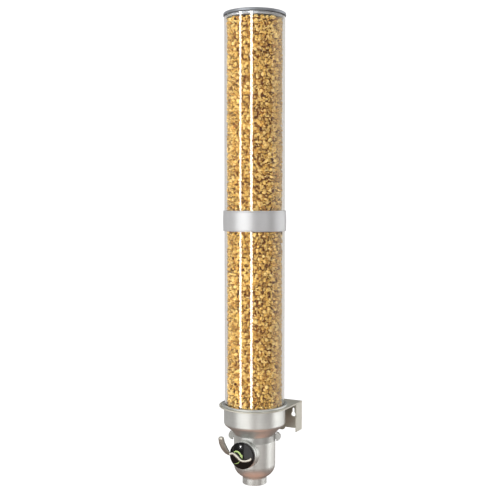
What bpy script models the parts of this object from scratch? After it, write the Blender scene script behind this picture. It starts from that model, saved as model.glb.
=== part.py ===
"""Wall-hung gravity dispenser for dry food: a clear two-piece tube with a lift-off lid stands in a funnel
cup, and a hand-turned portion wheel works in a housing under the cup.

Frame: metres, +Z up. The origin is on the wall face, midway between the two keyholes and level with
the screws that seat in them. The wall is the plane Y = 0, the dispenser hangs on its -Y side, and the
tube stands on a vertical axis through X = 0, Y = -AXIS_OUT.
Sizes below are in millimetres; MM turns them into metres where geometry is made.
"""

import math

import bmesh
import bpy
from mathutils import Matrix, Vector

MM = 0.001
GAP = 0.3  # clearance kept between any two pieces that touch

# Tube and wall
AXIS_OUT = 82.0  # tube axis to wall
TUBE_R = 65.0
TUBE_WALL = 3.0
TUBE_BORE = TUBE_R - TUBE_WALL
TUBE_FOOT = -12.8  # lower end of the lower tube
JOINT_Z = 420.5  # where the two tubes meet
TUBE_TOP = 853.0
JOINT_SEAL = 1.5  # thickness of the seal between the tube ends
BAND_R = 68.2
BAND_LOW, BAND_HIGH = 398.5, 442.5

# Lid
LID_R = 66.75
LID_TOP = 860.0
LID_RIM_LOW = 854.2
LID_FLOOR = 848.0  # underside of the pan that plugs the tube
LID_SKIN = 2.0

# Wall bracket
PLATE = 2.5  # sheet thickness
RING_R = 77.0
RING_TOP = 20.5
RING_HOLE = 67.7
WALL_HALF = 77.0
WALL_LOW = -43.0
CHEEK_OUT = 32.0  # how far the side cheeks stand out from the wall
BEND_R = 3.6
TAB_HALF, TAB_LOW, TAB_FILLET = 35.0, -50.0, 7.0
KEY_X = 56.0
KEY_SLOT_R, KEY_HOLE_R = 2.5, 5.2
KEY_DROP = 11.8  # slot end to centre of the entry hole
STEADY_KEY = (7.0, 6.0)  # width and height of the keys that stop the cup turning

# Cup and its neck
CUP_R = 66.8
CUP_BORE = 65.4
CUP_RIM_R, CUP_TOP = 71.0, 24.5
SEAT_Z = -14.5  # ledge that the tube seal lies on
CONE_FOOT_R = 45.0  # where the funnel meets the locking collar
NECK_R, NECK_BORE = 40.0, 37.6
NECK_FOOT = -56.0

# Portion-wheel housing
BODY_R, BODY_WALL = 45.3, 2.5
LEDGE_Z = -56.0
SOCKET_TOP = -43.0
SOCKET_R, SOCKET_BORE = 42.4, 40.4
SHELF_TOP, SHELF_LOW, SHELF_BORE = -57.8, -60.0, 38.6  # carries the portion drum's deck
SHAFT_Z = -78.0
BOSS_R, BOSS_FACE = 30.0, 46.0  # the round front boss; its face is this far from the tube axis
REAR_BOSS_R, REAR_BOSS_FACE = 9.5, 47.0
BOWL_TOP, BOWL_LOW = -108.0, -136.0
SPOUT_R, SPOUT_BORE, SPOUT_LOW = 26.4, 24.0, -152.0

# Portion wheel, shaft and knob; distances "out" run from the tube axis towards the front
DRUM_R, DRUM_BORE, DRUM_HALF = 29.0, 27.5, 25.2
DECK_R, DECK_TOP = 40.0, -56.3
WINDOW_X, WINDOW_Y = 18.0, 23.9  # half sizes of the drum's inlet and outlet
WHEEL_R, WHEEL_HALF, WHEEL_DISC = 26.9, 23.5, 1.4
HUB_R, SLOT_FLOOR = 12.0, 8.0
VANES, VANE_THICK = 6, 2.4
SHAFT_R, SHAFT_BACK, SHAFT_FRONT = 5.0, -44.5, 55.1
BEARING_R = 10.3  # hole for a bush in the cover
REAR_HOLE_R = 7.4
COVER_R, COVER_FRONT = 29.4, 52.0
COVER_SPIGOT_R, COVER_BACK = 15.7, 43.6  # the spigot sits in the front boss
REAR_SKIN = 1.6  # wall left behind the rear bush
KNOB_R, KNOB_BACK, KNOB_EDGE, KNOB_APEX = 28.8, 52.6, 60.4, 64.0
KNOB_BACK_R = 26.0  # the knob's rim narrows towards the cover
KNOB_STEM, STEM_BACK = 7.6, 40.8
CLIP_GROOVE = (41.6, 43.2)  # along the stem, behind the cover

# Lever: a wave across the knob's face that sweeps out to a handle, as
# (right, up, out from the knob's apex, half width)
LEVER_LINE = [
    (25.0, -0.8, -1.0, 1.7),
    (22.2, -4.8, 0.0, 2.8),
    (13.8, -8.0, 1.2, 2.5),
    (3.8, -8.7, 1.5, 2.7),
    (-2.4, -5.7, 1.6, 3.2),
    (-9.6, 0.2, 1.6, 3.7),
    (-17.8, 4.0, 1.4, 2.7),
    (-26.1, 2.5, 1.8, 3.2),
    (-31.6, 8.0, 4.2, 5.6),
    (-36.3, 16.5, 7.0, 6.7),
    (-39.7, 26.7, 9.6, 6.7),
    (-40.6, 35.4, 11.4, 6.4),
]
LEVER_FLAT = 0.66  # thickness over width

# Locking collar
COLLAR_R, COLLAR_BORE = 45.0, 42.8
COLLAR_LOW, COLLAR_HIGH = -55.6, -43.0
WING_OUT, WING_Z, WING_RISE = 57.5, -48.2, 9.8
WING_THICK = 7.0
WING_TURN = 19.5  # degrees from +X to the first wing, towards the wall

LARGE, MEDIUM, SMALL = 48, 36, 24  # facets round a full turn

for old in list(bpy.data.objects):
    bpy.data.objects.remove(old)


def collection(name):
    made = bpy.data.collections.new(name)
    bpy.context.scene.collection.children.link(made)
    return made


PARTS = collection("gravity_dispenser")
CUTTERS = collection("cutters")


# ---- materials ------------------------------------------------------------------------------


def material(name, colour, roughness, metallic=0.0, clear=0.0):
    made = bpy.data.materials.new(name)
    made.use_nodes = True
    shader = made.node_tree.nodes["Principled BSDF"]
    shader.inputs["Base Color"].default_value = (*colour, 1.0)
    shader.inputs["Roughness"].default_value = roughness
    shader.inputs["Metallic"].default_value = metallic
    shader.inputs["Transmission Weight"].default_value = clear
    return made


SATIN = material("satin_silver", (0.62, 0.60, 0.57), 0.38, 0.7)
SHEET = material("coated_sheet_steel", (0.52, 0.50, 0.43), 0.42, 0.5)
LID_GREY = material("lid_grey", (0.38, 0.40, 0.42), 0.35, 0.6)
BAND_SILVER = material("band_silver", (0.70, 0.70, 0.70), 0.35, 0.7)
CLEAR = material("clear_acrylic", (0.95, 0.95, 0.96), 0.03, 0.0, 1.0)
BLACK = material("gloss_black", (0.01, 0.01, 0.011), 0.08)
LEVER = material("cast_lever", (0.55, 0.51, 0.42), 0.35, 0.8)
STEEL = material("steel", (0.55, 0.55, 0.56), 0.3, 1.0)
RUBBER = material("white_rubber", (0.75, 0.74, 0.70), 0.6)
SEAL = material("seal_rubber", (0.08, 0.08, 0.08), 0.7)
NYLON = material("nylon", (0.82, 0.81, 0.76), 0.5)


# ---- shapes ---------------------------------------------------------------------------------


def centre_empty(name, location):
    """A parent whose origin is on a joint's axis."""
    made = bpy.data.objects.new(name, None)
    made.location = Vector(location) * MM
    PARTS.objects.link(made)
    return made


def add(name, mesh, look, parent=None, group=None):
    made = bpy.data.objects.new(name, mesh)
    if look is not None:
        mesh.materials.append(look)
    (group or PARTS).objects.link(made)
    made.parent = parent
    return made


def as_cutter(made):
    made.hide_render = True
    made.display_type = "WIRE"
    return made


def cut(target, tool, operation="DIFFERENCE"):
    step = target.modifiers.new(operation.lower(), "BOOLEAN")
    step.operation = operation
    step.solver = "EXACT"
    step.object = tool


def weld(made):
    """Joins the doubled corners that a row of cuts can leave."""
    step = made.modifiers.new("weld", "WELD")
    step.merge_threshold = 0.00001


def arc(centre, radius, start, end, count):
    """Points on an arc, with angles in degrees measured from the first axis."""
    turn = [math.radians(start + (end - start) * i / count) for i in range(count + 1)]
    return [(centre[0] + radius * math.cos(a), centre[1] + radius * math.sin(a)) for a in turn]


def bezier(start, control, end, count):
    """Points on a quadratic curve, without its first point."""
    points = []
    for i in range(1, count + 1):
        t = i / count
        weights = ((1 - t) ** 2, 2 * t * (1 - t), t**2)
        points.append(tuple(sum(w * p[k] for w, p in zip(weights, (start, control, end))) for k in (0, 1)))
    return points


def rounded(corners, count=3):
    """A closed outline whose corners (a, b, fillet radius) are rounded where the radius isn't 0."""
    outline = []
    for i, (a, b, radius) in enumerate(corners):
        here = Vector((a, b))
        if radius == 0:
            outline.append((a, b))
            continue
        before = Vector(corners[i - 1][:2])
        after = Vector(corners[(i + 1) % len(corners)][:2])
        back, ahead = (before - here).normalized(), (after - here).normalized()
        half = back.angle(ahead) / 2
        reach = radius / math.tan(half)
        middle = here + (back + ahead).normalized() * radius / math.sin(half)
        first = (here + back * reach - middle).normalized()
        last = (here + ahead * reach - middle).normalized()
        for k in range(count + 1):
            outline.append(tuple(middle + radius * first.slerp(last, k / count)))
    return outline


def turned(name, profile, look, facets=LARGE, closed=True, parent=None, group=None):
    """A solid of revolution about the object's own Z from (radius, height) points.

    The points run down the outer side. An open profile starts and ends on the axis."""
    mesh = bpy.data.meshes.new(name)
    points = [(r * MM, 0.0, z * MM) for r, z in profile]
    edges = [(i, i + 1) for i in range(len(points) - 1)]
    if closed:
        edges.append((len(points) - 1, 0))
    mesh.from_pydata(points, edges, [])
    made = add(name, mesh, look, parent, group)
    spin = made.modifiers.new("turn", "SCREW")
    spin.steps = spin.render_steps = facets
    spin.use_merge_vertices = True
    spin.merge_threshold = 0.00001
    spin.use_smooth_shade = False
    return made


def ring(name, outer, inner, low, high, look, facets=LARGE, edge=0.0, **place):
    corners = [(outer, high, edge), (outer, low, edge), (inner, low, 0), (inner, high, 0)]
    return turned(name, rounded(corners, 2), look, facets, **place)


def on_tube_axis(made, z=0.0):
    made.location = Vector((0, -AXIS_OUT, z)) * MM
    return made


def facing_front(made):
    """Puts the object's own +Z along -Y, on the shaft's axis, at the tube axis."""
    made.location = Vector((0, -AXIS_OUT, SHAFT_Z)) * MM
    made.rotation_euler = (math.radians(90), 0, 0)
    return made


def slab(name, outlines, thickness, look, group=None):
    """A flat plate from closed outlines in the object's own XY, the first solid and the rest holes.

    The curve is drawn in millimetres, and meshed() scales it to metres."""
    curve = bpy.data.curves.new(name, "CURVE")
    curve.dimensions = "2D"
    curve.fill_mode = "BOTH"
    curve.extrude = thickness / 2
    for outline in outlines:
        spline = curve.splines.new("POLY")
        spline.points.add(len(outline) - 1)
        for point, (a, b) in zip(spline.points, outline):
            point.co = (a, b, 0.0, 1.0)
        spline.use_cyclic_u = True
    return meshed(name, curve, look, group)


def meshed(name, curve, look, group=None):
    """The welded mesh object, in metres, of a curve drawn in millimetres."""
    source = bpy.data.objects.new(name + "_curve", curve)
    bpy.context.scene.collection.objects.link(source)
    seen = source.evaluated_get(bpy.context.evaluated_depsgraph_get())
    mesh = bpy.data.meshes.new_from_object(seen)
    bpy.data.objects.remove(source)
    work = bmesh.new()
    work.from_mesh(mesh)
    bmesh.ops.remove_doubles(work, verts=work.verts, dist=0.005)
    work.to_mesh(mesh)
    work.free()
    mesh.transform(Matrix.Scale(MM, 4))
    mesh.name = name
    mesh.materials.clear()
    return add(name, mesh, look, None, group)


def box(name, low, high, look=None, group=None):
    mesh = bpy.data.meshes.new(name)
    work = bmesh.new()
    bmesh.ops.create_cube(work, size=1.0)
    middle = [(a + b) / 2 for a, b in zip(low, high)]
    size = [b - a for a, b in zip(low, high)]
    for vert in work.verts:
        vert.co = Vector([(m + s * c) * MM for m, s, c in zip(middle, size, vert.co)])
    work.to_mesh(mesh)
    work.free()
    return add(name, mesh, look, None, group)


# ---- wall bracket ---------------------------------------------------------------------------


def steady_keys(name, clearance, low, high, group):
    """The two blocks, at the left and right of the cup, that key it to the bracket's ring."""
    width, reach = STEADY_KEY[0] / 2 + clearance, CUP_RIM_R + clearance
    return [
        box(
            f"{name}_{side}",
            (min(side * (CUP_R - 1), side * reach), -AXIS_OUT - width, low),
            (max(side * (CUP_R - 1), side * reach), -AXIS_OUT + width, high),
            None,
            group,
        )
        for side in (-1, 1)
    ]


def make_ring_plate():
    """The tongue-shaped shelf that carries the cup: a half round in front, straight to the wall."""
    outline = arc((0, -AXIS_OUT), RING_R, 180, 360, LARGE // 2) + [(RING_R, -GAP), (-RING_R, -GAP)]
    hole = arc((0, -AXIS_OUT), RING_HOLE, 360, 0, LARGE)[:-1]
    plate = slab("ring_plate", [outline, hole], PLATE, SHEET)
    plate.location.z = (RING_TOP - PLATE / 2) * MM
    for key in steady_keys("key_notch", GAP, RING_TOP - 2 * PLATE, RING_TOP + PLATE, CUTTERS):
        cut(plate, as_cutter(key))
    return plate


def keyhole(name, x):
    """A cutter through the wall plate: a slot on top of a round entry hole."""
    lean = math.degrees(math.asin(KEY_SLOT_R / KEY_HOLE_R))
    slot = arc((x, 0), KEY_SLOT_R, 0, 180, 6)
    entry = arc((x, -KEY_DROP), KEY_HOLE_R, 90 + lean, 450 - lean, 14)
    tool = slab(name, [slot + entry], 4 * PLATE, None, CUTTERS)
    tool.rotation_euler = (math.radians(90), 0, 0)
    return as_cutter(tool)


def make_wall_plate():
    """A channel seen from above: back plate on the wall, a cheek bent forward at each side."""
    top = RING_TOP - PLATE - GAP
    inner = WALL_HALF - PLATE
    corners = [
        (-WALL_HALF, -CHEEK_OUT, 0),
        (-inner, -CHEEK_OUT, 0),
        (-inner, -PLATE, BEND_R - PLATE),
        (inner, -PLATE, BEND_R - PLATE),
        (inner, -CHEEK_OUT, 0),
        (WALL_HALF, -CHEEK_OUT, 0),
        (WALL_HALF, 0, BEND_R),
        (-WALL_HALF, 0, BEND_R),
    ]
    plate = slab("wall_plate", [rounded(corners, 4)], top - WALL_LOW, SHEET)
    plate.location.z = (top + WALL_LOW) / 2 * MM
    tab_top = WALL_LOW + 8
    corners = [
        (-TAB_HALF, tab_top, 0),
        (-TAB_HALF, TAB_LOW, TAB_FILLET),
        (TAB_HALF, TAB_LOW, TAB_FILLET),
        (TAB_HALF, tab_top, 0),
    ]
    tab = slab("tab", [rounded(corners, 5)], PLATE - 0.4, None, CUTTERS)
    tab.rotation_euler = (math.radians(90), 0, 0)
    tab.location.y = -PLATE / 2 * MM
    cut(plate, as_cutter(tab), "UNION")
    for side in (-1, 1):
        cut(plate, keyhole(f"keyhole_{side}", side * KEY_X))
    return plate


# ---- cup, tubes and lid ---------------------------------------------------------------------


def cup_outside():
    """The cup's outer side, from its top edge down to the foot of its neck."""
    rim = [(CUP_RIM_R - 1.5, CUP_TOP), (CUP_RIM_R, CUP_TOP - 1.5), (CUP_RIM_R, RING_TOP + GAP)]
    wall = [(CUP_R, RING_TOP + GAP), (CUP_R, -16.5)]
    shoulder = bezier(wall[-1], (CUP_R, -21.0), (62.5, -24.2), 4)
    funnel = bezier(shoulder[-1], (48.5, -34.6), (CONE_FOOT_R, SOCKET_TOP + GAP), 6)
    neck = [(NECK_R, SOCKET_TOP + GAP), (NECK_R, NECK_FOOT)]
    return rim + wall + shoulder + funnel + neck


def cup_inside():
    """The cup's inner side, from the foot of its neck up to the top edge."""
    throat = [(NECK_BORE, NECK_FOOT), (NECK_BORE, -48.0)]
    cone = bezier(throat[-1], (44.0, -32.0), (54.0, -26.0), 4)
    seat = [(59.5, -22.0), (61.0, SEAT_Z), (CUP_BORE, SEAT_Z)]
    return throat + cone + seat + [(CUP_BORE, CUP_TOP - 1.0), (CUP_BORE + 1.0, CUP_TOP)]


def make_cup():
    cup = on_tube_axis(turned("hopper_cup", cup_outside() + cup_inside(), SATIN))
    for key in steady_keys("steady_key", 0.0, RING_TOP - PLATE, RING_TOP + 2 * GAP, CUTTERS):
        cut(cup, as_cutter(key), "UNION")


def make_tubes():
    half_seal = JOINT_SEAL / 2
    tubes = [
        ("lower_tube", TUBE_FOOT, JOINT_Z - half_seal - GAP),
        ("upper_tube", JOINT_Z + half_seal + GAP, TUBE_TOP),
    ]
    for name, low, high in tubes:
        on_tube_axis(ring(name, TUBE_R, TUBE_BORE, low, high, CLEAR))
    on_tube_axis(ring("tube_joint_seal", TUBE_R, TUBE_BORE, JOINT_Z - half_seal, JOINT_Z + half_seal, SEAL))
    on_tube_axis(ring("tube_joint_band", BAND_R, TUBE_R + GAP, BAND_LOW, BAND_HIGH, BAND_SILVER, edge=1.6))
    on_tube_axis(ring("tube_seat_gasket", TUBE_R, TUBE_BORE, SEAT_Z + GAP, TUBE_FOOT - GAP, SEAL))


def make_lid():
    """A pan that plugs the tube, hung by its rim on the tube's top edge."""
    plug = TUBE_BORE - 0.5
    pan = plug - LID_SKIN
    inside = [(0, LID_FLOOR + LID_SKIN), (pan, LID_FLOOR + LID_SKIN), (pan, LID_TOP - 1), (pan + 1, LID_TOP)]
    rim = [(LID_R - 1.5, LID_TOP), (LID_R - 0.4, LID_TOP - 0.4), (LID_R, LID_TOP - 1.5)]
    rim += [(LID_R, LID_RIM_LOW + 0.8), (LID_R - 0.8, LID_RIM_LOW)]
    under = [(plug, LID_RIM_LOW), (plug, LID_FLOOR + 1), (plug - 1, LID_FLOOR), (0, LID_FLOOR)]
    on_tube_axis(turned("lid", inside + rim + under, LID_GREY, closed=False))
    on_tube_axis(ring("lid_seal", TUBE_R, TUBE_BORE, TUBE_TOP + GAP, LID_RIM_LOW - GAP, SEAL))


# ---- portion-wheel housing ------------------------------------------------------------------


def rod(name, radius, back, front, look=None, facets=MEDIUM, parent=None, group=CUTTERS, edge=0.0):
    """A solid cylinder on the shaft's axis."""
    profile = [(0, front), (radius - edge, front)]
    profile += [(radius, front - edge)] if edge else []
    profile += [(radius, back), (0, back)]
    made = turned(name, profile, look, facets, closed=False, parent=parent, group=group)
    return made if parent else facing_front(made)


def make_housing():
    """Socket for the cup's neck, round body, bowl and spout in one shell, with a boss front and back."""
    bowl = bezier((BODY_R, BOWL_TOP), (BODY_R, -126.0), (SPOUT_R + 0.8, BOWL_LOW), 6)
    outside = [(0, SOCKET_TOP), (SOCKET_R, SOCKET_TOP), (SOCKET_R, LEDGE_Z), (BODY_R - 1.2, LEDGE_Z)]
    outside += [(BODY_R, LEDGE_Z - 1.2), (BODY_R, BOWL_TOP)] + bowl
    outside += [(SPOUT_R, BOWL_LOW - 1), (SPOUT_R, SPOUT_LOW), (0, SPOUT_LOW)]
    housing = on_tube_axis(turned("wheel_housing", outside, SATIN, closed=False))

    boss = rod("front_boss", BOSS_R, 0, BOSS_FACE, facets=LARGE)
    trim_low, trim_high = LEDGE_Z - 0.4, LEDGE_Z + 30
    reach = 2 * BOSS_R
    trim = box("boss_trim", (-reach, -AXIS_OUT - reach, trim_low), (reach, -AXIS_OUT + reach, trim_high),
               group=CUTTERS)
    cut(boss, as_cutter(trim))
    cut(housing, as_cutter(boss), "UNION")
    cut(housing, as_cutter(rod("rear_boss", REAR_BOSS_R, -REAR_BOSS_FACE, -20)), "UNION")

    bore = BODY_R - BODY_WALL
    cavity = [(0, SOCKET_TOP + 5), (SOCKET_BORE, SOCKET_TOP + 5), (SOCKET_BORE, SHELF_TOP)]
    cavity += [(SHELF_BORE, SHELF_TOP), (SHELF_BORE, SHELF_LOW), (bore, SHELF_LOW - 3), (bore, BOWL_TOP)]
    cavity += bezier((bore, BOWL_TOP), (bore, -124.0), (SPOUT_BORE, BOWL_LOW + 2), 5)
    cavity += [(SPOUT_BORE, SPOUT_LOW - 5), (0, SPOUT_LOW - 5)]
    hollow = on_tube_axis(turned("housing_hollow", cavity, None, closed=False, group=CUTTERS))
    cut(housing, as_cutter(hollow))
    cut(housing, as_cutter(rod("cover_hole", COVER_SPIGOT_R + GAP, 20, BOSS_FACE + 5)))
    cut(housing, as_cutter(rod("rear_hole", REAR_HOLE_R, -REAR_BOSS_FACE + REAR_SKIN, -20, facets=SMALL)))
    weld(housing)


def make_drum():
    """Drop-in insert: a round deck with a horizontal drum under it, open above and below the wheel."""
    sleeve = [(DRUM_R, DRUM_HALF), (DRUM_R, -DRUM_HALF), (DRUM_BORE, -DRUM_HALF), (DRUM_BORE, DRUM_HALF)]
    drum = facing_front(turned("portion_drum", sleeve, NYLON, MEDIUM))
    deck_low = DECK_TOP - 1.2
    wide = 2 * DRUM_R
    above = box("above_deck", (-wide, -AXIS_OUT - wide, deck_low + 0.5), (wide, -AXIS_OUT + wide, 0),
                group=CUTTERS)
    cut(drum, as_cutter(above))
    deck = on_tube_axis(turned("deck", [(0, DECK_TOP), (DECK_R, DECK_TOP), (DECK_R, deck_low), (0, deck_low)],
                               None, closed=False, group=CUTTERS))
    cut(drum, as_cutter(deck), "UNION")
    windows = {"inlet": (SHAFT_Z + 12, 0), "outlet": (2 * SHAFT_Z, SHAFT_Z - 12)}
    for name, (low, high) in windows.items():
        tool = box(name, (-WINDOW_X, -AXIS_OUT - WINDOW_Y, low), (WINDOW_X, -AXIS_OUT + WINDOW_Y, high),
                   group=CUTTERS)
        cut(drum, as_cutter(tool))


def make_cover_and_bushes():
    cover = [(COVER_R - 1.2, COVER_FRONT), (COVER_R, COVER_FRONT - 1.2), (COVER_R, BOSS_FACE + GAP)]
    cover += [(COVER_SPIGOT_R, BOSS_FACE + GAP), (COVER_SPIGOT_R, COVER_BACK)]
    cover += [(BEARING_R, COVER_BACK), (BEARING_R, COVER_FRONT)]
    facing_front(turned("front_cover", cover, SATIN, LARGE))
    bush_r, bush_bore, bush_front = BEARING_R - GAP, KNOB_STEM + GAP, COVER_FRONT - 0.2
    facing_front(ring("front_bush", bush_r, bush_bore, COVER_BACK, bush_front, NYLON, SMALL))
    back, front = -REAR_BOSS_FACE + REAR_SKIN + GAP, -37.0
    facing_front(ring("rear_bush", REAR_HOLE_R - GAP, SHAFT_R + GAP, back, front, NYLON, SMALL))


# ---- portion wheel, shaft and knob ----------------------------------------------------------


def make_wheel(axle):
    """A spool with six rubber vanes slotted into its hub."""
    rim, inner = WHEEL_HALF, WHEEL_HALF - WHEEL_DISC
    disc_r = WHEEL_R - 0.3
    bore = SHAFT_R + GAP
    profile = [(disc_r, rim), (disc_r, inner), (HUB_R, inner), (HUB_R, -inner)]
    profile += [(disc_r, -inner), (disc_r, -rim), (bore, -rim), (bore, rim)]
    spool = turned("wheel_spool", profile, NYLON, MEDIUM, parent=axle)
    half = inner - GAP
    for i in range(VANES):
        turn = math.radians(360 * (i + 0.5) / VANES)
        spoke = Matrix.Rotation(turn, 4, "Z")
        slot = box(f"vane_slot_{i + 1}", (SLOT_FLOOR, -VANE_THICK / 2 - GAP, -inner + 0.01),
                   (HUB_R + 1, VANE_THICK / 2 + GAP, inner - 0.01), group=CUTTERS)
        vane = box(f"wheel_vane_{i + 1}", (SLOT_FLOOR + GAP, -VANE_THICK / 2, -half),
                   (WHEEL_R, VANE_THICK / 2, half), RUBBER)
        for made in (slot, vane):
            made.data.transform(spoke)
            made.parent = axle
        cut(spool, as_cutter(slot))


def make_shaft_and_knob(axle):
    rod("drive_shaft", SHAFT_R, SHAFT_BACK, SHAFT_FRONT, STEEL, SMALL, axle, PARTS, edge=0.6)
    dome = arc_through_dome(KNOB_R - 1.0, KNOB_EDGE, KNOB_APEX, 5)
    low, high = CLIP_GROOVE
    neck = KNOB_STEM - 1.0
    bore, bottom = SHAFT_R + GAP, SHAFT_FRONT + GAP
    profile = dome + [(KNOB_R, KNOB_EDGE - 1.0), (KNOB_BACK_R, KNOB_BACK), (KNOB_STEM, KNOB_BACK)]
    profile += [(KNOB_STEM, high), (neck, high), (neck, low), (KNOB_STEM, low), (KNOB_STEM, STEM_BACK)]
    profile += [(bore, STEM_BACK), (bore, bottom), (0, bottom)]
    turned("knob_disc", profile, BLACK, LARGE, closed=False, parent=axle)
    ring("retaining_clip", KNOB_STEM + 3, neck + GAP, low + GAP, high - GAP, STEEL, SMALL, parent=axle)


def arc_through_dome(radius, edge, apex, count):
    """Points from the top of a shallow dome down to its edge."""
    rise = apex - edge
    ball = (radius**2 + rise**2) / (2 * rise)
    spread = math.degrees(math.asin(radius / ball))
    return [(r, z) for z, r in arc((apex - ball, 0), ball, 0, spread, count)]


def smooth_line(points, count):
    """Points of a Catmull-Rom spline through points of any width."""
    ends = [points[0]] + list(points) + [points[-1]]
    line = []
    for i in range(1, len(ends) - 2):
        p0, p1, p2, p3 = ends[i - 1 : i + 3]
        for k in range(count):
            t = k / count
            shares = (
                0.5 * (-t + 2 * t**2 - t**3),
                0.5 * (2 - 5 * t**2 + 3 * t**3),
                0.5 * (t + 4 * t**2 - 3 * t**3),
                0.5 * (t**3 - t**2),
            )
            line.append(tuple(sum(w * v for w, v in zip(shares, values)) for values in zip(p0, p1, p2, p3)))
    return line + [tuple(points[-1])]


def make_lever(axle):
    """The S-shaped handle, its back trimmed to sit just clear of the knob's dome."""
    line = smooth_line(LEVER_LINE, 3)
    tip, before = Vector(line[-1][:3]), Vector(line[-2][:3])
    ahead = (tip - before).normalized()
    for reach, share in ((2.4, 0.92), (4.2, 0.7), (5.2, 0.35)):
        line.append((*(tip + ahead * reach), LEVER_LINE[-1][3] * share))
    curve = bpy.data.curves.new("lever_handle", "CURVE")
    curve.dimensions = "3D"
    curve.bevel_depth = 1.0
    curve.bevel_resolution = 3
    curve.use_fill_caps = True
    spline = curve.splines.new("POLY")
    spline.points.add(len(line) - 1)
    for point, (x, y, z, half) in zip(spline.points, line):
        point.co = (x, y, (KNOB_APEX + z) / LEVER_FLAT, 1.0)
        point.radius = half
    lever = meshed("lever_handle", curve, LEVER)
    lever.data.transform(Matrix.Diagonal((1, 1, LEVER_FLAT, 1)))
    lever.parent = axle
    dome = arc_through_dome(KNOB_R + 0.2, KNOB_EDGE + GAP, KNOB_APEX + GAP, 5)
    clear = turned("knob_clearance", dome + [(KNOB_R + 0.2, KNOB_BACK - 5), (0, KNOB_BACK - 5)], None, LARGE,
                   closed=False, parent=axle, group=CUTTERS)
    cut(lever, as_cutter(clear))


# ---- locking collar -------------------------------------------------------------------------


def make_collar():
    """A ring round the neck joint with two round finger wings."""
    collar = on_tube_axis(ring("locking_collar", COLLAR_R, COLLAR_BORE, COLLAR_LOW, COLLAR_HIGH, SATIN))
    root, web = COLLAR_R - 1.0, 5.2
    centre = (WING_OUT - WING_RISE, WING_Z)
    outline = [(root, WING_Z - web), (centre[0], WING_Z - web)]
    outline += arc(centre, WING_RISE, -90, 90, 10)
    outline += [(centre[0], WING_Z + web), (root, WING_Z + web)]
    for i, turn in enumerate((WING_TURN, WING_TURN + 180)):
        wing = slab(f"wing_{i + 1}", [outline], WING_THICK, None, CUTTERS)
        upright = Matrix.Rotation(math.radians(90), 4, "X")
        wing.data.transform(Matrix.Rotation(math.radians(turn), 4, "Z") @ upright)
        on_tube_axis(wing)
        cut(collar, as_cutter(wing), "UNION")


make_ring_plate()
make_wall_plate()
make_cup()
make_tubes()
make_lid()
make_collar()
make_housing()
make_drum()
make_cover_and_bushes()
AXLE = facing_front(centre_empty("wheel_axis", (0, -AXIS_OUT, SHAFT_Z)))
make_wheel(AXLE)
make_shaft_and_knob(AXLE)
make_lever(AXLE)
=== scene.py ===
"""Looks for the wall-hung gravity dispenser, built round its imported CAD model.

Lengths below are in millimetres in the model's own frame: the wall is the plane Y = 0, +Z is up, and
the tube stands on a vertical axis in front of the wall. MM turns them into metres in the meshes.
"""

import math

import bmesh
import bpy
import numpy as np
from mathutils import Matrix, Vector


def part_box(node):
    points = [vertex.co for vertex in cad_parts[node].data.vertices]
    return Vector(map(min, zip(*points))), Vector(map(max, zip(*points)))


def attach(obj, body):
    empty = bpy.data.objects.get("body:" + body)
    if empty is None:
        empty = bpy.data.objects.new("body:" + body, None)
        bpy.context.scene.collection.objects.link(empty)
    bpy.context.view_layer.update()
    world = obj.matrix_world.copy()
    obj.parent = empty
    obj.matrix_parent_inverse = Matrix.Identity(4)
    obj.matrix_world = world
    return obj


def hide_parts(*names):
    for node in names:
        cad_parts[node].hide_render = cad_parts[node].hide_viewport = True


MM = 0.001
GAP = 0.3  # clearance that the CAD keeps between pieces that touch

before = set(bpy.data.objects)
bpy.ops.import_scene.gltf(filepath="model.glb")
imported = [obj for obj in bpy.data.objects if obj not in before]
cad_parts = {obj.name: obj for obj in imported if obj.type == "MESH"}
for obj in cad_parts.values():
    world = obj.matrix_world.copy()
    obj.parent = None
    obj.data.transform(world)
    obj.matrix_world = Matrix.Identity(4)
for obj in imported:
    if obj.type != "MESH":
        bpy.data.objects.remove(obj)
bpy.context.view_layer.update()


def extent(node):
    """The lowest and highest corners of a CAD node, in millimetres."""
    low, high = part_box(node)
    return low / MM, high / MM


# ---- sizes, read from the CAD -----------------------------------------------------------------

tube_low, tube_high = extent("lower_tube")
AXIS_Y = (tube_low.y + tube_high.y) / 2
TUBE_R = (tube_high.x - tube_low.x) / 2
TUBE_BORE = TUBE_R - 3
TUBE_FOOT, LOWER_TOP = tube_low.z, tube_high.z
UPPER_FOOT, TUBE_TOP = extent("upper_tube")[0].z, extent("upper_tube")[1].z

band_low, band_high = extent("tube_joint_band")
BAND_R = band_high.x

lid_low, lid_high = extent("lid")
LID_R, LID_FLOOR, LID_TOP = lid_high.x, lid_low.z, lid_high.z

cup_low, cup_high = extent("hopper_cup")
CUP_RIM_R, CUP_TOP, NECK_FOOT = cup_high.x, cup_high.z, cup_low.z

ring_low, ring_high = extent("ring_plate")
RING_R, RING_LOW, RING_TOP = ring_high.x, ring_low.z, ring_high.z

wall_low, wall_high = extent("wall_plate")
WALL_HALF, CHEEK_OUT, WALL_TOP = wall_high.x, -wall_low.y, wall_high.z
TAB_LOW = wall_low.z

body_low, body_high = extent("wheel_housing")
BODY_R, SOCKET_TOP, SPOUT_LOW = body_high.x, body_high.z, body_low.z

COLLAR_LOW = extent("locking_collar")[0].z

knob_low, knob_high = extent("knob_disc")
SHAFT_Z = (knob_low.z + knob_high.z) / 2
KNOB_R, KNOB_APEX = knob_high.x, AXIS_Y - knob_low.y

cover_low, cover_high = extent("front_cover")
COVER_R, COVER_FRONT = cover_high.x, AXIS_Y - cover_low.y
BOSS_FACE = 46.0  # the front boss ends this far from the tube axis

FINE = 144  # facets round a full turn
ON_AXIS = 1e-6  # a profile point nearer than this to its axis is one point
CAP_WELD = 0.005  # joins a plate's caps to its sides


# ---- mesh tools ---------------------------------------------------------------------------------

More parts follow.
